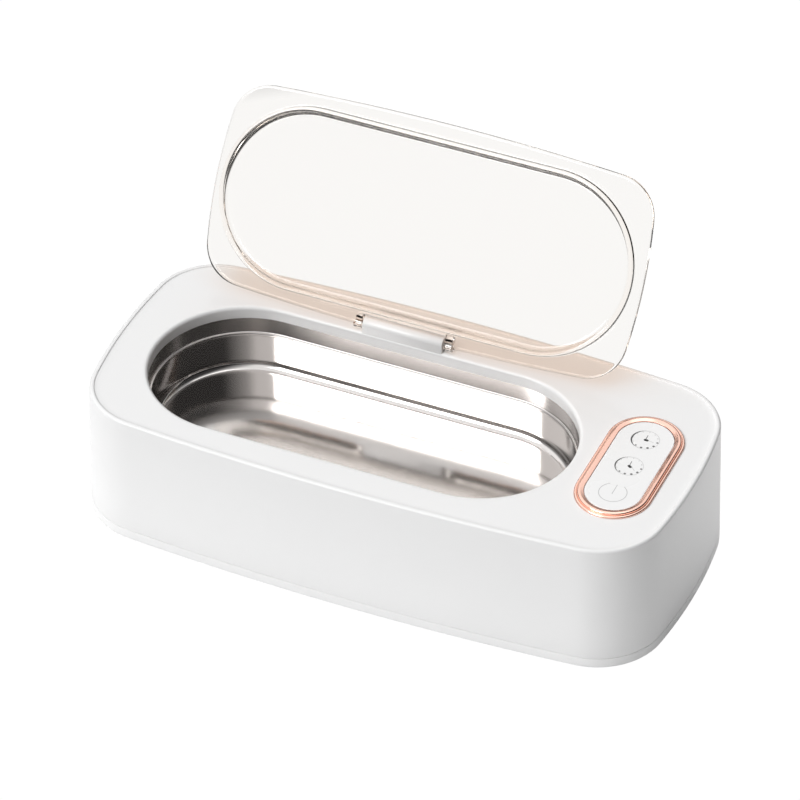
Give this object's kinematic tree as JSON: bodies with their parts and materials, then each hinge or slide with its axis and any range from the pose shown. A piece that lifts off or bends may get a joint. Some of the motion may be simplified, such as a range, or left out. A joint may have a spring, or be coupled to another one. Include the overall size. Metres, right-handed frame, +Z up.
{
  "type": "ultrasonic cleaner",
  "caption": "Small white ultrasonic bath for jewellery and spectacles, with a hinged clear lid, a steel tank and a touch panel in a rose gold ring.",
  "frame": {"origin": "under the middle of the model's box at rest, lid open, at the level of the feet", "axes": "+X along the body, towards the control panel; +Y from the front to the hinge and the mains inlet; +Z up"},
  "size_m": [0.2098, 0.1204, 0.116],
  "materials": {
    "white_plastic": "satin gloss moulded ABS",
    "grey_rubber": "matt",
    "screw_steel": "zinc plated",
    "polished_steel": "mirror polished stainless",
    "white_silicone": "matt silicone",
    "silvered_ceramic": "fired silver electrode",
    "wire_insulation": "satin",
    "circuit_board": "solder mask over glass fibre",
    "ferrite": "matt ferrite",
    "winding_tape": "polyester tape",
    "copper_wire": "enamelled copper",
    "capacitor_sleeve": "shrink sleeve on an aluminium can",
    "yellow_epoxy": "gloss",
    "black_epoxy": "matt moulded epoxy",
    "heat_sink_aluminium": "extruded",
    "fuse_brown": "gloss",
    "connector_nylon": "natural nylon",
    "black_plastic": "fine grain",
    "plated_brass": "nickel plated",
    "panel_white": "satin gloss with printed key symbols",
    "rose_gold": "rose gold plated",
    "spring_steel": "bright",
    "light_epoxy": "clear lens",
    "pin_steel": "ground",
    "clear_lid": "clear, with a warm tint"
  },
  "bodies": {
    "body": {"housing": "white_plastic", "base_cover": "white_plastic", "rubber_feet": "grey_rubber", "base_screws": "screw_steel", "tank": "polished_steel", "tank_gasket": "white_silicone", "tank_screws": "screw_steel", "piezo_disc": "silvered_ceramic", "piezo_leads": "wire_insulation", "driver_board": "circuit_board", "board_screws": "screw_steel", "transformer_core": "ferrite", "transformer_winding": "winding_tape", "choke_core": "ferrite", "choke_winding": "copper_wire", "bulk_capacitor": "capacitor_sleeve", "film_capacitor": "yellow_epoxy", "switching_transistor": "black_epoxy", "heat_sink": "heat_sink_aluminium", "fuse": "fuse_brown", "wire_connectors": "connector_nylon", "inlet_socket": "black_plastic", "inlet_pins": "plated_brass", "mains_wires": "wire_insulation", "control_panel": "panel_white", "panel_ring": "rose_gold", "control_board": "circuit_board", "control_board_screws": "screw_steel", "touch_springs": "spring_steel", "key_lights": "light_epoxy", "control_chip": "black_epoxy", "control_cable": "wire_insulation", "hinge_pins": "pin_steel"},
    "lid": {"lid": "clear_lid"}
  },
  "joints": [
    {"name": "lid_hinge", "type": "hinge", "parent": "body", "child": "lid", "pos_m": [-0.0136, 0.02218, 0.0526], "axis": [1, 0, 0], "range_deg": [0, 121]}
  ]
}
